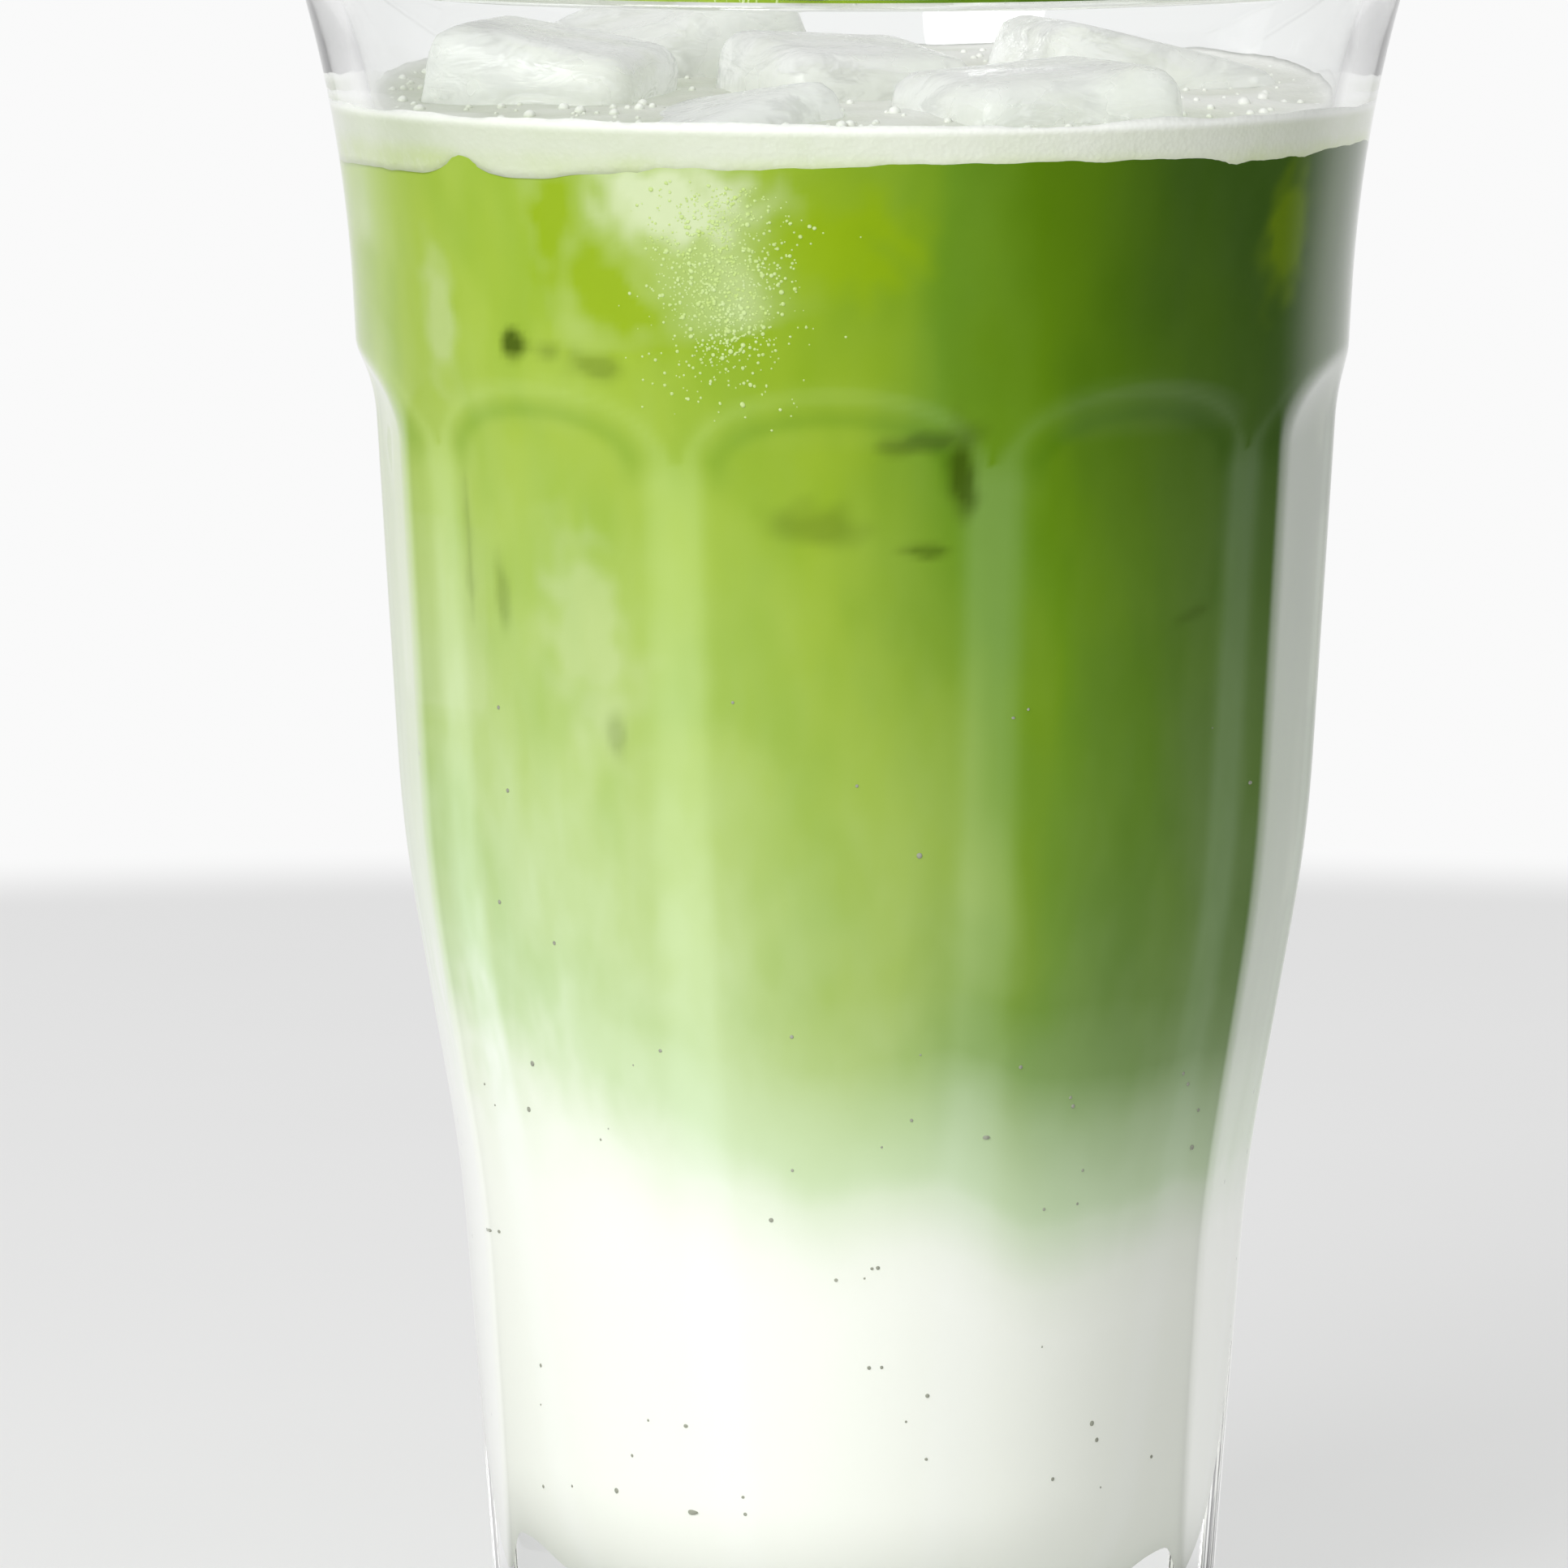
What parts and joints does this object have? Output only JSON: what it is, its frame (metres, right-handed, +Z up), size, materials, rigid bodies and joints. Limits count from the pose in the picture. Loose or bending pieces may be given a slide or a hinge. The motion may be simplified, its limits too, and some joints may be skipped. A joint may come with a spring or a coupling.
{
  "type": "iced green tea in a tall glass",
  "caption": "Iced green tea over milk with froth and ice cubes, in a tall flared tumbler of pressed glass with arched facets.",
  "frame": {"origin": "centre of the foot, on the surface it stands on", "axes": "+Z up along the tumbler's axis, -Y towards the front, +X to the right"},
  "size_m": [0.0954, 0.0954, 0.15],
  "materials": {
    "glass": "clear pressed glass, fire-polished edges",
    "milk": "opaque white milk",
    "green_tea": "bright yellow-green tea, cloudy towards the milk",
    "froth": "pale fine froth",
    "ice": "wet, slightly clouded ice"
  },
  "bodies": {
    "root": {"glass": "glass", "milk": "milk", "green_tea": "green_tea", "froth": "froth", "ice_back": "ice", "ice_left": "ice", "ice_front": "ice", "ice_right": "ice", "ice_centre": "ice", "ice_side": "ice"}
  },
  "joints": []
}
